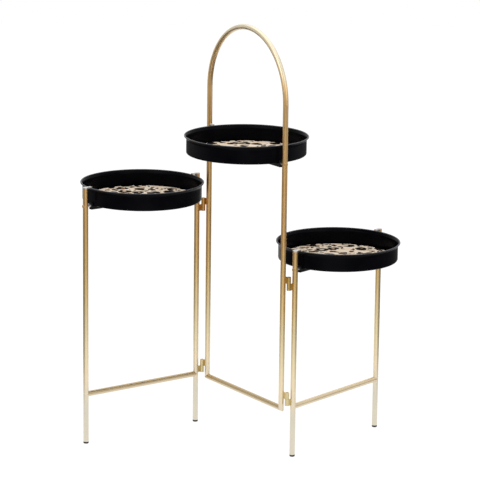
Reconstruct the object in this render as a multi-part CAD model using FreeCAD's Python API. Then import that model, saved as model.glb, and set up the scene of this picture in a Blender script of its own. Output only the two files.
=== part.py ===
import FreeCAD, Part
import math
import os

# Folding plant stand with three round trays at three heights.
#
# Three flat tube frames stand edge to edge like a zigzag screen. The centre
# frame is a tall arch that hangs between the two side frames on lift-off
# hinges: the upper knuckle of each hinge is on the centre frame, the lower
# knuckle and its pin are on the side frame. Only the side frames have feet.
# Each frame carries one tray between its legs, screwed through the legs into
# the bar under the tray and held at rim height by two flat lugs.
#
# The stand's frame has +Z up and +X to the right, and its front faces -Y.
# The origin is on the floor, under the middle of the stand's bounding box.

# ---- Driving dimensions, in millimetres and degrees ----

# Tubes of all three frames
tube_diameter = 11.0
tube_wall = 1.0

# Heights: the centre tray's rim above the floor, and the others from it
centre_rim_height = 640.3
left_tray_drop = 105.0          # from the centre tray's rim down to the left tray's
right_tray_drop = 213.7         # from the centre tray's rim down to the right tray's
arch_rise = 81.7                # from the centre tray's rim up to where the half-round arch starts
side_rail_height = 105.0        # centre line of the side frames' rails
crossbar_height = 101.2         # centre line of the centre frame's crossbar

# How the stand is set up in its rest pose
centre_heading = -56.3          # direction of the centre frame, left leg to right leg
left_fold = 87.4                # angle between the left and the centre frame
right_fold = 73.9               # angle between the right and the centre frame

# Trays
rim_diameter = 253.0
rim_overhang = 4.5              # from the pan's upright wall out to the rim's edge
pan_height = 37.3
pan_sheet = 1.0
pan_corner_radius = 3.0
rim_flare_height = 9.0          # the top of the wall that flares out to the rim
rim_bead_radius = 1.5           # rolled edge of the rim
disc_edge_gap = 8.5             # between the pan's wall and the printed disc that lines it
disc_thickness = 4.0

# Bar under each tray, with its ends turned up, and what holds it between the legs
bar_width = 8.0
bar_depth = 7.0
bar_end_thickness = 3.2
bar_end_gap = 0.8               # between the pan's wall and the bar's ends
bar_end_height = 14.0           # from the bar's underside to the top of its ends
screw_rise = 7.8                # from the bar's underside up to the screws
spacer_diameter = 6.0
spacer_length = 6.0             # from the bar's ends to the legs
screw_diameter = 4.0
screw_head_diameter = 7.0
screw_head_height = 0.7
screw_clearance = 0.15          # radial, in the legs and the spacers
thread_clearance = 0.02         # radial, in the bar's ends

# Lugs between the legs and the rims
lug_thickness = 2.5
lug_width = 6.0
lug_lap = 2.5                   # how far a lug reaches over the rim

# Feet of the side frames
foot_diameter = 11.0
foot_height = 4.0
foot_chamfer = 0.8
foot_plug_length = 12.0
foot_plug_clearance = 0.05      # radial, in the tube

# Hinges
hinge_reach = 12.0              # from a leg's axis out to the pin, along the frame
folded_gap = 1.0                # between the legs of two frames that are folded flat
low_hinge_rise = 20.8           # from the crossbar's centre line up to where the low knuckles meet
high_hinge_drop = 64.8          # from the side tray's rim down to the high hinge
knuckle_diameter = 8.4
knuckle_height = 13.5
knuckle_gap = 0.3               # between the two knuckles
leaf_thickness = 2.0
pin_diameter = 4.4
pin_top_gap = 2.0               # from the pin's end to the top of the upper knuckle
pin_running_clearance = 0.05    # radial, in the upper knuckle
pin_press_clearance = 0.01      # radial, in the lower knuckle

# ---- Worked out from the values above ----

tube_radius = tube_diameter / 2
bore_radius = tube_radius - tube_wall
rim_radius = rim_diameter / 2
pan_radius = rim_radius - rim_overhang
disc_radius = pan_radius - pan_sheet - disc_edge_gap
bar_half_length = pan_radius + bar_end_gap + bar_end_thickness
half_spacing = bar_half_length + spacer_length + tube_radius
knuckle_radius = knuckle_diameter / 2
pin_radius = pin_diameter / 2
hinge_offset = tube_radius + folded_gap / 2
left_rim_height = centre_rim_height - left_tray_drop
right_rim_height = centre_rim_height - right_tray_drop
arch_spring_height = centre_rim_height + arch_rise

UP = FreeCAD.Vector(0, 0, 1)
ALONG = FreeCAD.Vector(1, 0, 0)
ACROSS = FreeCAD.Vector(0, 1, 0)


# ---- Small helpers ----
# Each frame is drawn on its own: x along the frame, y across it, z up from
# the floor, with the tray's axis at x = y = 0 and the legs' axes at
# x = -half_spacing and x = +half_spacing. A side frame has its hinged leg at
# -half_spacing, and its pins stand hinge_offset from the frame's plane.

def rod(radius, x, y, low, high):
    """An upright round bar."""
    return Part.makeCylinder(radius, high - low, FreeCAD.Vector(x, y, low), UP)


def long_rod(radius, start, end, z):
    """A round bar that lies along the frame."""
    return Part.makeCylinder(radius, end - start, FreeCAD.Vector(start, 0, z), ALONG)


def leg_outside(x, low, high):
    """The space inside a leg's outer surface."""
    return rod(tube_radius, x, 0, low, high)


def turned(shape, angle):
    """The same shape turned about the frame's upright middle axis."""
    copy = shape.copy()
    copy.rotate(FreeCAD.Vector(0, 0, 0), UP, angle)
    return copy


def on_both_sides(shape):
    """The shape and the same shape at the other end of the frame, apart."""
    return Part.makeCompound([shape, turned(shape, 180)])


def plan_point(x, y, angle):
    """The point (x, y) turned by an angle about the origin."""
    turn = math.radians(angle)
    return FreeCAD.Vector(
        x * math.cos(turn) - y * math.sin(turn),
        x * math.sin(turn) + y * math.cos(turn),
        0,
    )


# ---- Tray ----

def pan(rim_height):
    """Pressed pan: flat floor, upright wall and a flared rim with a rolled edge."""
    bottom = rim_height - pan_height
    corner = pan_corner_radius
    flare_start = pan_height - rim_flare_height
    bead_centre_radius = rim_radius - rim_bead_radius
    bead_centre_height = pan_height - rim_bead_radius
    wall_middle = pan_radius - pan_sheet / 2
    # The flare is an arc that leaves the wall upright and ends in the bead.
    outward = bead_centre_radius - wall_middle
    upward = bead_centre_height - flare_start
    sweep = 2 * math.atan2(outward, upward)
    flare_radius = upward / math.sin(sweep)
    flare_centre = wall_middle + flare_radius
    outer_flare = flare_radius - pan_sheet / 2
    inner_flare = flare_radius + pan_sheet / 2
    inner_wall = pan_radius - pan_sheet
    flat = pan_radius - corner

    def point(r, z):
        return FreeCAD.Vector(r, 0, bottom + z)

    def flare_point(radius, angle):
        across = flare_centre - radius * math.cos(angle)
        return point(across, flare_start + radius * math.sin(angle))

    def corner_middle(radius):
        reach = radius * math.sqrt(0.5)
        return point(flat + reach, corner - reach)

    outer_corner_end = point(pan_radius, corner)
    outer_flare_start = point(pan_radius, flare_start)
    outer_flare_end = flare_point(outer_flare, sweep)
    inner_flare_end = flare_point(inner_flare, sweep)
    inner_flare_start = point(inner_wall, flare_start)
    inner_corner_end = point(inner_wall, corner)
    edges = [
        Part.LineSegment(point(0, 0), point(flat, 0)),
        Part.Arc(point(flat, 0), corner_middle(corner), outer_corner_end),
        Part.LineSegment(outer_corner_end, outer_flare_start),
        Part.Arc(outer_flare_start, flare_point(outer_flare, sweep / 2), outer_flare_end),
        Part.LineSegment(outer_flare_end, inner_flare_end),
        Part.Arc(inner_flare_end, flare_point(inner_flare, sweep / 2), inner_flare_start),
        Part.LineSegment(inner_flare_start, inner_corner_end),
        Part.Arc(inner_corner_end, corner_middle(corner - pan_sheet), point(flat, pan_sheet)),
        Part.LineSegment(point(flat, pan_sheet), point(0, pan_sheet)),
        Part.LineSegment(point(0, pan_sheet), point(0, 0)),
    ]
    outline = Part.Wire([edge.toShape() for edge in edges])
    sheet = Part.Face(outline).revolve(FreeCAD.Vector(0, 0, 0), UP, 360)
    bead = Part.makeTorus(bead_centre_radius, rim_bead_radius, point(0, bead_centre_height), UP)
    return sheet.fuse(bead)


def printed_disc(rim_height):
    """Printed disc that lies on the pan's floor."""
    low = rim_height - pan_height + pan_sheet
    return rod(disc_radius, 0, 0, low, low + disc_thickness)


def bar_underside(rim_height):
    """Height of the underside of a tray's bar."""
    return rim_height - pan_height - bar_depth


def screw_height(rim_height):
    """Height of the screws that hold a tray's bar."""
    return bar_underside(rim_height) + screw_rise


def bar(rim_height):
    """Flat bar under the pan, with a turned-up, threaded end on each side of it."""
    low = bar_underside(rim_height)
    corner = FreeCAD.Vector(-bar_half_length, -bar_width / 2, low)
    body = Part.makeBox(2 * bar_half_length, bar_width, bar_depth, corner)
    inside = bar_half_length - bar_end_thickness
    corner = FreeCAD.Vector(inside, -bar_width / 2, low)
    end = Part.makeBox(bar_end_thickness, bar_width, bar_end_height, corner)
    hole_radius = screw_diameter / 2 + thread_clearance
    hole = long_rod(hole_radius, inside, bar_half_length, screw_height(rim_height))
    return body.fuse([end, turned(end, 180)]).cut([hole, turned(hole, 180)]).removeSplitter()


def spacer_pair(rim_height):
    """Sleeves between the bar's ends and the legs, hollowed to sit on the tubes."""
    height = screw_height(rim_height)
    sleeve = long_rod(spacer_diameter / 2, bar_half_length, half_spacing, height)
    bore = long_rod(screw_diameter / 2 + screw_clearance, bar_half_length, half_spacing, height)
    leg = leg_outside(half_spacing, height - spacer_diameter, height + spacer_diameter)
    return on_both_sides(sleeve.cut([bore, leg]))


def screw_pair(rim_height):
    """Screws through the legs and the spacers into the bar's ends."""
    height = screw_height(rim_height)
    outside = half_spacing + tube_radius
    shank = long_rod(screw_diameter / 2, bar_half_length - bar_end_thickness, outside, height)
    head = long_rod(screw_head_diameter / 2, half_spacing, outside + screw_head_height, height)
    rounding = screw_head_height / 2
    outer_edges = [edge for edge in head.Edges if edge.BoundBox.XMin > outside]
    head = head.makeFillet(rounding, outer_edges)
    leg = leg_outside(half_spacing, height - screw_head_diameter, height + screw_head_diameter)
    return on_both_sides(shank.fuse(head.cut(leg)))


def screw_holes(rim_height):
    """What the tray's screws need drilled through both legs."""
    radius = screw_diameter / 2 + screw_clearance
    start = half_spacing - tube_diameter
    end = half_spacing + tube_diameter
    hole = long_rod(radius, start, end, screw_height(rim_height))
    return [hole, turned(hole, 180)]


def tray(name, rim_height):
    """All pieces of one tray, by node name."""
    return {
        name + "_tray_pan": pan(rim_height),
        name + "_tray_printed_disc": printed_disc(rim_height),
        name + "_tray_bar": bar(rim_height),
        name + "_tray_bar_spacers": spacer_pair(rim_height),
        name + "_tray_bar_screws": screw_pair(rim_height),
    }


# ---- Frame tubes ----

def leg(x, rim_height):
    """Straight leg from its foot up to the lug on its top."""
    outside = rod(tube_radius, x, 0, foot_height, rim_height)
    inside = rod(bore_radius, x, 0, foot_height, rim_height)
    return outside.cut([inside] + screw_holes(rim_height))


def side_rail():
    """Low rail between the two legs of a side frame, cut to fit round them."""
    outside = long_rod(tube_radius, -half_spacing, half_spacing, side_rail_height)
    inside = long_rod(bore_radius, -half_spacing, half_spacing, side_rail_height)
    low = side_rail_height - tube_diameter
    high = side_rail_height + tube_diameter
    legs = [leg_outside(-half_spacing, low, high), leg_outside(half_spacing, low, high)]
    return outside.cut([inside] + legs)


def foot(x):
    """Plastic foot with a plug that sits in the end of a leg."""
    cap = rod(foot_diameter / 2, x, 0, 0, foot_height)
    floor_edges = [edge for edge in cap.Edges if edge.BoundBox.ZMax < foot_chamfer]
    cap = cap.makeChamfer(foot_chamfer, floor_edges)
    plug = rod(bore_radius - foot_plug_clearance, x, 0, foot_height, foot_height + foot_plug_length)
    return cap.fuse(plug).removeSplitter()


def side_lug(rim_height):
    """Flat lug on top of the leg at +x, reaching over the tray's rim."""
    reach = rim_radius - lug_lap
    cap = rod(tube_radius, half_spacing, 0, rim_height, rim_height + lug_thickness)
    corner = FreeCAD.Vector(reach, -lug_width / 2, rim_height)
    strip = Part.makeBox(half_spacing - reach, lug_width, lug_thickness, corner)
    return cap.fuse(strip).removeSplitter()


def centre_lug():
    """Flat lug from the side of the upright at +x, reaching over the tray's rim."""
    reach = rim_radius - lug_lap
    corner = FreeCAD.Vector(reach, -lug_width / 2, centre_rim_height)
    strip = Part.makeBox(half_spacing - reach, lug_width, lug_thickness, corner)
    upright = leg_outside(half_spacing, centre_rim_height, centre_rim_height + lug_thickness)
    return strip.cut(upright)


def mitre_block(above):
    """Block that cuts the corner at +x to its mitre, from above or from below."""
    size = 4 * tube_diameter
    start = 0 if above else -size
    block = Part.makeBox(size, size, size, FreeCAD.Vector(start, -size / 2, -size / 2))
    block.rotate(FreeCAD.Vector(0, 0, 0), ACROSS, -45)
    block.translate(FreeCAD.Vector(half_spacing, 0, crossbar_height))
    return block


def arch_rod(radius):
    """Round bar bent into the arch: two uprights and the half round on top."""
    low = crossbar_height - tube_radius
    uprights = [rod(radius, x, 0, low, arch_spring_height) for x in (-half_spacing, half_spacing)]
    centre = FreeCAD.Vector(half_spacing, 0, arch_spring_height)
    section = Part.Face(Part.Wire(Part.makeCircle(radius, centre, UP)))
    bend = section.revolve(FreeCAD.Vector(0, 0, arch_spring_height), FreeCAD.Vector(0, -1, 0), 180)
    return bend.fuse(uprights)


def arch_tube():
    """Tall bent tube of the centre frame, mitred where the crossbar meets it."""
    below = mitre_block(above=False)
    tube = arch_rod(tube_radius).cut(arch_rod(bore_radius))
    return tube.cut([below, turned(below, 180)] + screw_holes(centre_rim_height))


def crossbar():
    """Low tube that closes the centre frame, mitred at both ends."""
    end = half_spacing + tube_radius
    outside = long_rod(tube_radius, -end, end, crossbar_height)
    inside = long_rod(bore_radius, -end, end, crossbar_height)
    above = mitre_block(above=True)
    return outside.cut([inside, above, turned(above, 180)])


# ---- Hinges ----

def knuckle(low, high, bore):
    """Knuckle and leaf on the leg at -x, with the pin's axis at +y of the frame."""
    pin_x = -half_spacing - hinge_reach
    barrel = rod(knuckle_radius, pin_x, hinge_offset, low, high)
    leaf_corner = FreeCAD.Vector(pin_x, hinge_offset - knuckle_radius, low)
    leaf = Part.makeBox(hinge_reach, leaf_thickness, high - low, leaf_corner)
    hole = rod(bore, pin_x, hinge_offset, low, high)
    return barrel.fuse(leaf).cut([hole, leg_outside(-half_spacing, low, high)])


def lower_knuckle(meeting_height):
    """The side frame's half of a hinge, which holds the pin."""
    return knuckle(meeting_height - knuckle_height, meeting_height, pin_radius + pin_press_clearance)


def upper_knuckle(meeting_height):
    """The centre frame's half of a hinge, which turns on the pin."""
    low = meeting_height + knuckle_gap
    half = knuckle(low, low + knuckle_height, pin_radius + pin_running_clearance)
    return half.mirror(FreeCAD.Vector(0, 0, 0), ACROSS)


def hinge_pin(meeting_height):
    """Pin from the foot of the lower knuckle up into the upper one."""
    low = meeting_height - knuckle_height
    top = meeting_height + knuckle_gap + knuckle_height - pin_top_gap
    return rod(pin_radius, -half_spacing - hinge_reach, hinge_offset, low, top)


# ---- Frames ----

def hinge_heights(rim_height):
    """Where the knuckles meet, for the low and the high hinge of a side frame."""
    return {"low": crossbar_height + low_hinge_rise, "high": rim_height - high_hinge_drop}


def side_frame(name, hinged_leg, free_leg, rim_height):
    """All pieces of a side frame, by node name."""
    lug = side_lug(rim_height)
    pieces = tray(name, rim_height)
    pieces[name + "_" + hinged_leg + "_leg"] = leg(-half_spacing, rim_height)
    pieces[name + "_" + free_leg + "_leg"] = leg(half_spacing, rim_height)
    pieces[name + "_" + hinged_leg + "_foot"] = foot(-half_spacing)
    pieces[name + "_" + free_leg + "_foot"] = foot(half_spacing)
    pieces[name + "_" + hinged_leg + "_lug"] = turned(lug, 180)
    pieces[name + "_" + free_leg + "_lug"] = lug
    pieces[name + "_rail"] = side_rail()
    for level, height in hinge_heights(rim_height).items():
        pieces[name + "_" + level + "_hinge_lower_knuckle"] = lower_knuckle(height)
        pieces[name + "_" + level + "_hinge_pin"] = hinge_pin(height)
    return pieces


def centre_frame():
    """All pieces of the centre frame, by node name."""
    lug = centre_lug()
    pieces = tray("centre", centre_rim_height)
    pieces["centre_arch_tube"] = arch_tube()
    pieces["centre_crossbar"] = crossbar()
    pieces["centre_left_lug"] = turned(lug, 180)
    pieces["centre_right_lug"] = lug
    for level, height in hinge_heights(left_rim_height).items():
        pieces["left_" + level + "_hinge_upper_knuckle"] = upper_knuckle(height)
    for level, height in hinge_heights(right_rim_height).items():
        pieces["right_" + level + "_hinge_upper_knuckle"] = turned(upper_knuckle(height), 180)
    return pieces


def place(pieces, position, heading):
    """Turn a frame to its heading and set the middle of its tray at a position."""
    placed = {}
    for name, shape in pieces.items():
        placed[name] = turned(shape, heading)
        placed[name].translate(position)
    return placed


def stand():
    """The three frames in their rest pose, about the middle of the centre frame."""
    to_pin = half_spacing + hinge_reach
    left_heading = centre_heading - left_fold
    right_heading = centre_heading + 180 - right_fold
    left_pin = plan_point(-to_pin, -hinge_offset, centre_heading)
    right_pin = plan_point(to_pin, hinge_offset, centre_heading)
    left_middle = left_pin + plan_point(to_pin, -hinge_offset, left_heading)
    right_middle = right_pin + plan_point(to_pin, -hinge_offset, right_heading)
    left = side_frame("left", "back", "front", left_rim_height)
    right = side_frame("right", "front", "back", right_rim_height)
    pieces = place(centre_frame(), FreeCAD.Vector(0, 0, 0), centre_heading)
    pieces.update(place(left, left_middle, left_heading))
    pieces.update(place(right, right_middle, right_heading))
    return pieces, left_pin, right_pin


def main():
    os.makedirs("parts", exist_ok=True)
    pieces, left_pin, right_pin = stand()
    box = Part.makeCompound(list(pieces.values())).optimalBoundingBox(False)
    to_origin = FreeCAD.Vector(-box.Center.x, -box.Center.y, 0)
    for name, shape in pieces.items():
        shape.translate(to_origin)
        shape.exportStep("parts/" + name + ".step")
    print("pieces", len(pieces), "size", box.XLength, box.YLength, box.ZLength, "floor", box.ZMin)
    print("middle of the centre frame", to_origin)
    print("left pin", left_pin + to_origin, "right pin", right_pin + to_origin)


main()
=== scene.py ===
import math

import bpy
from mathutils import Matrix, Vector

# Folding plant stand: gold lacquered tube frames, black enamelled trays and
# leopard-print discs. Lengths are in metres unless a name says otherwise.

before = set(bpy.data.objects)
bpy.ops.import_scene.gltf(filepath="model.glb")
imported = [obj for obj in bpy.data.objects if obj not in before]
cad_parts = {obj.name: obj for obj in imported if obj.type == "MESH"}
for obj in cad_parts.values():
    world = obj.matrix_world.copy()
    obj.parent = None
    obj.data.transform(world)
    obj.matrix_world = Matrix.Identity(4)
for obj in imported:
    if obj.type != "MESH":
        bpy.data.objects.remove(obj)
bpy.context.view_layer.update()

MM = 0.001


# ---- Colours and shader nodes ----

def linear(hex_code):
    """An sRGB hex colour as linear red, green, blue and alpha."""
    channels = [int(hex_code[i:i + 2], 16) / 255 for i in (0, 2, 4)]
    return [c / 12.92 if c <= 0.04045 else ((c + 0.055) / 1.055) ** 2.4 for c in channels] + [1.0]


def add(tree, kind, inputs, stops=(), **settings):
    """Add a shader node with a value or a link in each input.

    Settings go on the node, and stops of (position, hex colour) on its ramp.
    """
    node = tree.nodes.new("ShaderNode" + kind)
    for name, value in settings.items():
        setattr(node, name, value)
    for name, value in inputs.items():
        if isinstance(value, bpy.types.NodeSocket):
            tree.links.new(value, node.inputs[name])
        else:
            node.inputs[name].default_value = value
    for index, (position, colour) in enumerate(stops):
        elements = node.color_ramp.elements
        element = elements[index] if index < 2 else elements.new(position)
        element.position = position
        element.color = linear(colour)
    return node


def new_material(name):
    """An empty node material, its tree, and where on the stand each point lies."""
    material = bpy.data.materials.new(name)
    material.use_nodes = True
    tree = material.node_tree
    tree.nodes.clear()
    return material, tree, add(tree, "TexCoord", {}).outputs["Object"]


# ---- Gold lacquer ----

# The lacquer's colour by height above the floor, in metres: the pale stops low down are a painted reflection
# of the white floor, and the pale stops at the top of the arch a painted highlight
GOLD_BY_HEIGHT = [
    (0.08, "DED6C2"),
    (0.14, "F3E0BE"),
    (0.20, "EFDDB4"),
    (0.26, "E7D1A3"),
    (0.32, "E5C589"),
    (0.38, "DCB778"),
    (0.48, "E4B575"),
    (0.72, "E2B97E"),
    (0.80, "E4C696"),
    (0.83, "E4CCA2"),
    (0.86, "E9D9BA"),
]
BEND_START = 0.74               # height where the arch tube has begun to bend
BEND_FADE = 40 * MM             # over which the painted highlight on the upper side of the bend fades in
BEND_HIGHLIGHT_COLOUR = "E4D7BA"


def gold_lacquer(name, underside_shade_tint, top_shade_tint):
    """Drawn steel dipped in a metallic gold lacquer.

    The colour is paler near the feet, a painted reflection of the white
    floor, and deeper higher up, so the stand goes from champagne to old
    gold. Over the bend of the arch it is painted pale again, most of all on
    the upper side, as a painted highlight. The tints paint shade onto a
    piece's underside and its top. It is clouded a little, and its satin skin
    spreads what it mirrors into soft bands along the tubes.
    """
    material, tree, place = new_material(name)
    height = add(tree, "SeparateXYZ", {"Vector": place}).outputs["Z"]
    # Painted reflection and highlight: the colour is paler low down and over the top of the arch
    painted_floor_reflection = add(tree, "ValToRGB", {"Fac": height}, stops=GOLD_BY_HEIGHT).outputs["Color"]
    facing = add(tree, "NewGeometry", {}).outputs["Normal"]
    upward = add(tree, "SeparateXYZ", {"Vector": facing}).outputs["Z"]
    # Painted shade: the top and the underside of a piece each take their own tint
    on_top = add(
        tree, "MapRange", {"Value": upward, "From Min": -0.5, "From Max": 0.6},
        interpolation_type="SMOOTHSTEP",
    ).outputs["Result"]
    painted_side_shade = add(
        tree, "Mix", {"Factor": on_top, "A": linear(underside_shade_tint), "B": linear(top_shade_tint)}, data_type="RGBA"
    ).outputs["Result"]
    tone = add(
        tree, "Mix", {"Factor": 1.0, "A": painted_floor_reflection, "B": painted_side_shade}, data_type="RGBA", blend_type="MULTIPLY"
    ).outputs["Result"]
    # Painted highlight: the upward-facing side of the arch's bend is painted pale
    outside = add(
        tree, "MapRange", {"Value": upward, "From Min": 0.05, "From Max": 0.5},
        interpolation_type="SMOOTHSTEP",
    ).outputs["Result"]
    bend = add(
        tree, "MapRange", {"Value": height, "From Min": BEND_START, "From Max": BEND_START + BEND_FADE},
        interpolation_type="SMOOTHSTEP",
    ).outputs["Result"]
    bend_highlight_mask = add(tree, "Math", {0: outside, 1: bend}, operation="MULTIPLY").outputs[0]
    with_bend_highlight = add(
        tree, "Mix", {"Factor": bend_highlight_mask, "A": tone, "B": linear(BEND_HIGHLIGHT_COLOUR)}, data_type="RGBA"
    ).outputs["Result"]
    cloud = add(tree, "TexNoise", {"Vector": place, "Scale": 1 / (40 * MM)}).outputs["Fac"]
    shade = add(tree, "MapRange", {"Value": cloud, "To Min": 0.95, "To Max": 1.03}).outputs["Result"]
    colour = add(
        tree, "Mix", {"Factor": 1.0, "A": with_bend_highlight, "B": shade}, data_type="RGBA", blend_type="MULTIPLY"
    ).outputs["Result"]
    patches = add(tree, "TexNoise", {"Vector": place, "Scale": 1 / (12 * MM)}).outputs["Fac"]
    rough = add(tree, "MapRange", {"Value": patches, "To Min": 0.3, "To Max": 0.36}).outputs["Result"]
    # Orange peel is finer than this; it is drawn as coarse as it needs to show
    dimples = add(tree, "TexNoise", {"Vector": place, "Scale": 1 / (5 * MM), "Detail": 1.0}).outputs["Fac"]
    peel = add(tree, "Bump", {"Height": dimples, "Distance": 0.006 * MM}).outputs["Normal"]
    surface = add(tree, "BsdfPrincipled", {
        "Base Color": colour,
        "Metallic": 1.0,
        "Roughness": rough,
        "Coat Weight": 0.2,
        "Coat Roughness": 0.12,
        "Normal": peel,
    }).outputs["BSDF"]
    add(tree, "OutputMaterial", {"Surface": surface})
    return material


# ---- Black finishes ----

def black_enamel():
    """Pressed steel sprayed with black enamel.

    It is near black and smooth, and mirrors little but the lamps. The rolled
    lip is painted a little grey as a painted highlight.
    """
    material, tree, place = new_material("black_enamel_on_pressed_steel")
    drift = add(tree, "TexNoise", {"Vector": place, "Scale": 1 / (30 * MM)}).outputs["Fac"]
    black = add(tree, "ValToRGB", {"Fac": drift}, stops=[(0.3, "020205"), (0.7, "060609")]).outputs["Color"]
    # How far up its own pan each point lies, from 0 at the foot to 1 at the lip
    within_pan = add(tree, "TexCoord", {}).outputs["Generated"]
    up_the_pan = add(tree, "SeparateXYZ", {"Vector": within_pan}).outputs["Z"]
    # Painted highlight: the top of each pan's wall, the rolled lip, is painted grey
    lip = add(
        tree, "MapRange", {"Value": up_the_pan, "From Min": 0.95, "From Max": 1.0, "To Max": 0.5},
        interpolation_type="SMOOTHSTEP",
    ).outputs["Result"]
    lip_highlight_grey = linear("76767A")
    colour = add(tree, "Mix", {"Factor": lip, "A": black, "B": lip_highlight_grey}, data_type="RGBA").outputs["Result"]
    patches = add(tree, "TexNoise", {"Vector": place, "Scale": 1 / (12 * MM)}).outputs["Fac"]
    rough = add(tree, "MapRange", {"Value": patches, "To Min": 0.22, "To Max": 0.3}).outputs["Result"]
    dimples = add(tree, "TexNoise", {"Vector": place, "Scale": 1 / (2.2 * MM)}).outputs["Fac"]
    peel = add(tree, "Bump", {"Height": dimples, "Distance": 0.01 * MM}).outputs["Normal"]
    surface = add(tree, "BsdfPrincipled", {
        "Base Color": colour,
        "Roughness": rough,
        "Specular IOR Level": 0.04,
        "Normal": peel,
    }).outputs["BSDF"]
    add(tree, "OutputMaterial", {"Surface": surface})
    return material


def satin_powder_coat():
    """Bar steel under satin black powder coat.

    It is a little pebbled, and greyer and duller than the enamel.
    """
    material, tree, place = new_material("satin_black_powder_coat")
    drift = add(tree, "TexNoise", {"Vector": place, "Scale": 1 / (8 * MM)}).outputs["Fac"]
    colour = add(tree, "ValToRGB", {"Fac": drift}, stops=[(0.3, "0D0D0E"), (0.7, "151516")]).outputs["Color"]
    pebbles = add(tree, "TexNoise", {"Vector": place, "Scale": 1 / (0.9 * MM)}).outputs["Fac"]
    pebbled = add(tree, "Bump", {"Height": pebbles, "Distance": 0.03 * MM}).outputs["Normal"]
    surface = add(tree, "BsdfPrincipled", {
        "Base Color": colour,
        "Roughness": 0.42,
        "Specular IOR Level": 0.15,
        "Normal": pebbled,
    }).outputs["BSDF"]
    add(tree, "OutputMaterial", {"Surface": surface})
    return material


def foot_plastic():
    """Moulded black polyethylene: matt and a little waxy, with its mould's fine grain."""
    material, tree, place = new_material("moulded_black_polyethylene")
    drift = add(tree, "TexNoise", {"Vector": place, "Scale": 1 / (5 * MM)}).outputs["Fac"]
    colour = add(tree, "ValToRGB", {"Fac": drift}, stops=[(0.3, "131313"), (0.7, "1C1C1C")]).outputs["Color"]
    grain = add(tree, "TexNoise", {"Vector": place, "Scale": 1 / (0.6 * MM)}).outputs["Fac"]
    grained = add(tree, "Bump", {"Height": grain, "Distance": 0.03 * MM}).outputs["Normal"]
    surface = add(tree, "BsdfPrincipled", {
        "Base Color": colour,
        "Roughness": 0.55,
        "Normal": grained,
    }).outputs["BSDF"]
    add(tree, "OutputMaterial", {"Surface": surface})
    return material


# ---- Zinc plate ----

def bright_zinc():
    """Steel with bright zinc plating.

    It is a cool, slightly clouded silver, and its fine grain softens what it mirrors.
    """
    material, tree, place = new_material("bright_zinc_plate")
    cloud = add(tree, "TexNoise", {"Vector": place, "Scale": 1 / (3 * MM)}).outputs["Fac"]
    colour = add(tree, "ValToRGB", {"Fac": cloud}, stops=[(0.3, "CFCBC8"), (0.7, "E4E0DC")]).outputs["Color"]
    grain = add(tree, "TexNoise", {"Vector": place, "Scale": 1 / (0.7 * MM)}).outputs["Fac"]
    grained = add(tree, "Bump", {"Height": grain, "Distance": 0.01 * MM}).outputs["Normal"]
    surface = add(tree, "BsdfPrincipled", {
        "Base Color": colour,
        "Metallic": 1.0,
        "Roughness": 0.4,
        "Normal": grained,
    }).outputs["BSDF"]
    add(tree, "OutputMaterial", {"Surface": surface})
    return material


# ---- Leopard print ----

ROSETTE_SPACING = 31 * MM
FLECK_SPACING = 15 * MM
WANDER = 15 * MM                # how far the drawing strays from a regular net
GAP_SPACING = 13 * MM           # of the breaks in the rings
FLECK_SIZE = 0.45               # share of the flecks' spacing
CLEAR_OF_RINGS = 0.56           # share of the rosettes' spacing, from a rosette's middle


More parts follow.
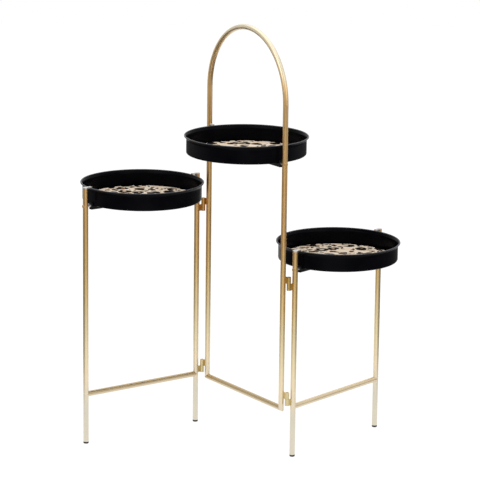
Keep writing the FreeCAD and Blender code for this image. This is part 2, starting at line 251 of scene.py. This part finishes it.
def leopard_print():
    """Fibreboard disc with a leopard print.

    Broken brown-black rings with tawny hearts lie on cream, with dark flecks
    between them. The ink is matt, so the print keeps its contrast from a low
    view. Radii and widths of the rings are shares of the rosettes' spacing.
    """
    material, tree, place = new_material("leopard_print_on_fibreboard")

    # The print is flat, so the drawing is worked out from x and y alone
    flat = add(tree, "VectorMath", {0: place, 1: (1, 1, 0)}, operation="MULTIPLY").outputs[0]
    mottle = add(tree, "TexNoise", {"Vector": flat, "Scale": 1 / WANDER, "Detail": 1.0}).outputs["Color"]
    either_way = add(tree, "VectorMath", {0: mottle, 1: (0.5, 0.5, 0.5)}, operation="SUBTRACT").outputs[0]
    stray = add(tree, "VectorMath", {0: either_way, "Scale": WANDER}, operation="SCALE").outputs[0]
    drawn = add(tree, "VectorMath", {0: flat, 1: stray}, operation="ADD").outputs[0]

    rosettes = add(tree, "TexVoronoi", {"Vector": drawn, "Scale": 1 / ROSETTE_SPACING, "Randomness": 0.6})
    from_middle = rosettes.outputs["Distance"]
    chance = add(tree, "SeparateColor", {"Color": rosettes.outputs["Color"]}).outputs
    radius = add(tree, "MapRange", {"Value": chance["Red"], "To Min": 0.27, "To Max": 0.34}).outputs["Result"]
    past_ring = add(tree, "Math", {0: from_middle, 1: radius}, operation="SUBTRACT").outputs[0]
    off_ring = add(tree, "Math", {0: past_ring}, operation="ABSOLUTE").outputs[0]
    gaps = add(tree, "TexNoise", {"Vector": flat, "Scale": 1 / GAP_SPACING, "Detail": 0.0}).outputs["Fac"]
    half_width = add(
        tree, "MapRange",
        {"Value": gaps, "From Min": 0.24, "From Max": 0.35, "To Min": -0.05, "To Max": 0.145},
        interpolation_type="SMOOTHSTEP",
    ).outputs["Result"]
    ring = add(tree, "Math", {0: half_width, 1: off_ring}, operation="GREATER_THAN").outputs[0]

    flecks = add(tree, "TexVoronoi", {"Vector": drawn, "Scale": 1 / FLECK_SPACING}).outputs["Distance"]
    in_fleck = add(tree, "Math", {0: flecks, 1: FLECK_SIZE}, operation="LESS_THAN").outputs[0]
    between_rings = add(
        tree, "Math", {0: from_middle, 1: CLEAR_OF_RINGS}, operation="GREATER_THAN"
    ).outputs[0]
    fleck = add(tree, "Math", {0: in_fleck, 1: between_rings}, operation="MULTIPLY").outputs[0]
    dark = add(tree, "Math", {0: ring, 1: fleck}, operation="MAXIMUM").outputs[0]

    in_heart = add(tree, "Math", {0: from_middle, 1: radius}, operation="LESS_THAN").outputs[0]
    how_tawny = add(
        tree, "MapRange",
        {"Value": chance["Green"], "From Min": 0.3, "From Max": 0.7, "To Min": 0.2, "To Max": 0.9},
    ).outputs["Result"]
    heart = add(tree, "Math", {0: in_heart, 1: how_tawny}, operation="MULTIPLY").outputs[0]
    broad = add(tree, "TexNoise", {"Vector": flat, "Scale": 1 / (25 * MM)}).outputs["Fac"]
    fine = add(tree, "TexNoise", {"Vector": flat, "Scale": 1 / (6 * MM)}).outputs["Fac"]
    cream = add(tree, "ValToRGB", {"Fac": broad}, stops=[(0.3, "D8CBBA"), (0.7, "D0BBA2")]).outputs["Color"]
    tawny = add(tree, "ValToRGB", {"Fac": fine}, stops=[(0.35, "A47C54"), (0.65, "7C583A")]).outputs["Color"]
    ink = add(tree, "ValToRGB", {"Fac": fine}, stops=[(0.35, "0C0807"), (0.7, "1C120D")]).outputs["Color"]
    warmed = add(tree, "Mix", {"Factor": heart, "A": cream, "B": tawny}, data_type="RGBA").outputs["Result"]
    printed = add(tree, "Mix", {"Factor": dark, "A": warmed, "B": ink}, data_type="RGBA").outputs["Result"]

    # Only the top is printed; the cut edge and the underside are dark board
    facing = add(tree, "NewGeometry", {}).outputs["Normal"]
    upward = add(tree, "SeparateXYZ", {"Vector": facing}).outputs["Z"]
    top = add(tree, "Math", {0: upward, 1: 0.5}, operation="GREATER_THAN").outputs[0]
    board = linear("1B1613")
    colour = add(tree, "Mix", {"Factor": top, "A": board, "B": printed}, data_type="RGBA").outputs["Result"]
    weave = add(tree, "TexNoise", {"Vector": place, "Scale": 1 / (1.2 * MM)}).outputs["Fac"]
    textured = add(tree, "Bump", {"Height": weave, "Distance": 0.01 * MM}).outputs["Normal"]
    surface = add(tree, "BsdfPrincipled", {
        "Base Color": colour,
        "Roughness": 0.7,
        "Specular IOR Level": 0.04,
        "Normal": textured,
    }).outputs["BSDF"]
    add(tree, "OutputMaterial", {"Surface": surface})
    return material


# ---- Which piece has which finish ----

def finish_pieces(material, *endings):
    """Give a finish to every piece of the stand whose name has one of these endings."""
    for name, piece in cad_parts.items():
        if name.endswith(endings):
            piece.data.materials.clear()
            piece.data.materials.append(material)


# White tints leave the colour by height as it is; darker ones paint shade onto the rails, the crossbar and
# the hinges, their tops and undersides apart
upright_gold = gold_lacquer("gold_lacquer_with_painted_light_on_uprights", underside_shade_tint="FFFFFF", top_shade_tint="FFFFFF")
left_rail_gold = gold_lacquer("gold_lacquer_painted_shade_on_left_rail", underside_shade_tint="F4EEE4", top_shade_tint="CABEA8")
right_rail_gold = gold_lacquer("gold_lacquer_painted_shade_on_right_rail", underside_shade_tint="F8F2EA", top_shade_tint="F6EEE0")
crossbar_gold = gold_lacquer("gold_lacquer_painted_shade_on_crossbar", underside_shade_tint="F0E8DC", top_shade_tint="D8CAAE")
hinge_gold = gold_lacquer("gold_lacquer_painted_shade_on_hinges", underside_shade_tint="EAE8CE", top_shade_tint="EAE8CE")
finish_pieces(upright_gold, "_leg", "_arch_tube", "_screws")
finish_pieces(left_rail_gold, "left_rail")
finish_pieces(right_rail_gold, "right_rail")
finish_pieces(crossbar_gold, "_crossbar")
finish_pieces(hinge_gold, "_knuckle")
finish_pieces(black_enamel(), "_pan")
finish_pieces(satin_powder_coat(), "_bar")
finish_pieces(bright_zinc(), "_spacers", "_pin", "_lug")
finish_pieces(foot_plastic(), "_foot")
finish_pieces(leopard_print(), "_printed_disc")


# ---- Studio ----

# The camera sees pure white all round. What the stand mirrors is white paper
# under it, a white backdrop and a ceiling, in a room that is otherwise dim.
# Levels are shares of white.
STUDIO_WHITE = linear("FFFFFF")
FLOOR_SIZE = 12.0
FLOOR_DROP = 0.2 * MM           # keeps the paper just clear of the feet
PAPER_HALF_WIDTH = 0.6
PAPER_FRONT = 1.0               # how far the paper reaches towards the camera
PAPER_FADE = 0.25
PAPER_GLOW = 1.05
SHADOW_SHARE = 0.08             # how much of the paper's white is lit, and so can be shaded
FAR_FLOOR_START = 2.3           # the floor is white again this far to each side
FAR_FLOOR_END = 4.0
FAR_FLOOR_LEVEL = 1.0
ROOM_LEVEL = 0.1
FRONT_LEVEL = 0.75
CEILING_LEVEL = 0.7
FILL_LEVEL = 0.95               # of the light that comes evenly from all sides


def white_for_camera(tree, mirrored):
    """Whether a ray sees the white, and how white: full for the camera, less where mirrored."""
    ray = add(tree, "LightPath", {}).outputs
    gloss = add(
        tree, "Math", {0: ray["Is Glossy Ray"], 1: ray["Is Transmission Ray"]}, operation="MAXIMUM"
    ).outputs[0]
    seen = add(tree, "Math", {0: gloss, 1: ray["Is Camera Ray"]}, operation="MAXIMUM").outputs[0]
    level = add(tree, "Mix", {"Factor": ray["Is Camera Ray"], "A": mirrored, "B": 1.0}).outputs["Result"]
    return seen, level


def paper_floor():
    """White paper on the studio floor; it keeps a faint shadow of the stand."""
    material, tree, place = new_material("white_studio_paper")
    spot = add(tree, "SeparateXYZ", {"Vector": place}).outputs
    sideways = add(tree, "Math", {0: spot["X"]}, operation="ABSOLUTE").outputs[0]
    paper = add(
        tree, "MapRange",
        {"Value": sideways, "From Min": PAPER_HALF_WIDTH, "From Max": PAPER_HALF_WIDTH + PAPER_FADE,
         "To Min": 1.0, "To Max": ROOM_LEVEL},
        interpolation_type="SMOOTHSTEP",
    ).outputs["Result"]
    far_floor = add(
        tree, "MapRange",
        {"Value": sideways, "From Min": FAR_FLOOR_START, "From Max": FAR_FLOOR_END,
         "To Max": FAR_FLOOR_LEVEL},
        interpolation_type="SMOOTHSTEP",
    ).outputs["Result"]
    across = add(tree, "Math", {0: paper, 1: far_floor}, operation="MAXIMUM").outputs[0]
    along = add(
        tree, "MapRange",
        {"Value": spot["Y"], "From Min": -PAPER_FRONT - 4 * PAPER_FADE, "From Max": -PAPER_FRONT,
         "To Min": FRONT_LEVEL},
        interpolation_type="SMOOTHSTEP",
    ).outputs["Result"]
    mirrored = add(tree, "Math", {0: across, 1: along}, operation="MULTIPLY").outputs[0]
    seen, level = white_for_camera(tree, mirrored)
    lit = add(tree, "BsdfDiffuse", {"Color": linear("F4F4F4")}).outputs["BSDF"]
    strength = add(tree, "Math", {0: level, 1: PAPER_GLOW}, operation="MULTIPLY").outputs[0]
    glow = add(tree, "Emission", {"Color": STUDIO_WHITE, "Strength": strength}).outputs["Emission"]
    share = add(tree, "Math", {0: seen, 1: 1 - SHADOW_SHARE}, operation="MULTIPLY").outputs[0]
    surface = add(tree, "MixShader", {0: share, 1: lit, 2: glow}).outputs["Shader"]
    add(tree, "OutputMaterial", {"Surface": surface})
    bpy.ops.mesh.primitive_plane_add(size=FLOOR_SIZE, location=(0, 0, -FLOOR_DROP))
    floor = bpy.context.object
    floor.name = "studio_floor"
    floor.data.materials.append(material)


def studio_room():
    """White backdrop behind the stand, dim walls, a paler ceiling and an even soft fill."""
    world = bpy.data.worlds.new("studio_room")
    bpy.context.scene.world = world
    world.use_nodes = True
    tree = world.node_tree
    tree.nodes.clear()
    outward = add(tree, "TexCoord", {}).outputs["Generated"]
    way = add(tree, "SeparateXYZ", {"Vector": outward}).outputs
    sideways = add(tree, "Math", {0: way["X"]}, operation="ABSOLUTE").outputs[0]
    narrow = add(
        tree, "MapRange",
        {"Value": sideways, "From Min": 0.45, "From Max": 0.7, "To Min": 1.0, "To Max": 0.0},
        interpolation_type="SMOOTHSTEP",
    ).outputs["Result"]
    behind = add(
        tree, "MapRange", {"Value": way["Y"], "From Min": -0.2, "From Max": 0.3},
        interpolation_type="SMOOTHSTEP",
    ).outputs["Result"]
    backdrop = add(tree, "Math", {0: narrow, 1: behind}, operation="MULTIPLY").outputs[0]
    ceiling = add(
        tree, "MapRange", {"Value": way["Z"], "From Min": -0.3, "From Max": 0.05, "To Max": CEILING_LEVEL},
        interpolation_type="SMOOTHSTEP",
    ).outputs["Result"]
    white = add(tree, "Math", {0: backdrop, 1: ceiling}, operation="MAXIMUM").outputs[0]
    mirrored = add(tree, "MapRange", {"Value": white, "To Min": ROOM_LEVEL}).outputs["Result"]
    seen, level = white_for_camera(tree, mirrored)
    fill = add(tree, "Background", {"Color": STUDIO_WHITE, "Strength": FILL_LEVEL}).outputs["Background"]
    walls = add(tree, "Background", {"Color": STUDIO_WHITE, "Strength": level}).outputs["Background"]
    surface = add(tree, "MixShader", {0: seen, 1: fill, 2: walls}).outputs["Shader"]
    add(tree, "OutputWorld", {"Surface": surface})


def softbox(name, place, aim, size, power):
    """Square softbox that points at a spot on the stand."""
    lamp = bpy.data.lights.new(name, "AREA")
    lamp.shape = "SQUARE"
    lamp.size = size
    lamp.energy = power
    holder = bpy.data.objects.new(name, lamp)
    holder.location = place
    holder.rotation_euler = (Vector(aim) - Vector(place)).to_track_quat("-Z", "Y").to_euler()
    bpy.context.scene.collection.objects.link(holder)


paper_floor()
studio_room()
softbox("key_softbox", place=(-1.8, -2.6, 2.6), aim=(0, 0, 0.45), size=2.4, power=24)
softbox("fill_softbox", place=(2.2, -2.2, 1.8), aim=(0, 0, 0.45), size=2.6, power=15)
softbox("top_softbox", place=(0.0, 0.3, 3.0), aim=(0, 0, 0.5), size=4.2, power=34)
softbox("right_softbox", place=(2.2, 0.2, 1.7), aim=(0, 0, 0.6), size=1.8, power=3)


# ---- Camera ----

# Fitted to the photograph: its lens, its height and how it tilts
LENS_PIXELS = 2536.5            # focal length in pixels of the 480-pixel frame
FRAME_PIXELS = 480
SENSOR_MM = 36.0
CAMERA_PLACE = (0.00076, -5.05452, 1.58098)
CAMERA_PITCH = math.radians(12.94)
CAMERA_ROLL = math.radians(0.68)


def photo_camera():
    """Camera at the photograph's viewpoint, turned by its right, up and backward axes."""
    lens = bpy.data.cameras.new("photo_camera")
    lens.sensor_width = SENSOR_MM
    lens.lens = SENSOR_MM * LENS_PIXELS / FRAME_PIXELS
    lens.clip_end = 50.0
    lens.dof.use_dof = False
    forward = Vector((0, math.cos(CAMERA_PITCH), -math.sin(CAMERA_PITCH)))
    level_right = Vector((1, 0, 0))
    level_up = level_right.cross(forward)
    right = level_right * math.cos(CAMERA_ROLL) + level_up * math.sin(CAMERA_ROLL)
    up = right.cross(forward)
    turn = Matrix((right, up, -forward)).transposed()
    holder = bpy.data.objects.new("photo_camera", lens)
    holder.matrix_world = Matrix.Translation(CAMERA_PLACE) @ turn.to_4x4()
    bpy.context.scene.collection.objects.link(holder)
    bpy.context.scene.camera = holder


photo_camera()
bpy.context.scene.view_settings.view_transform = "Standard"
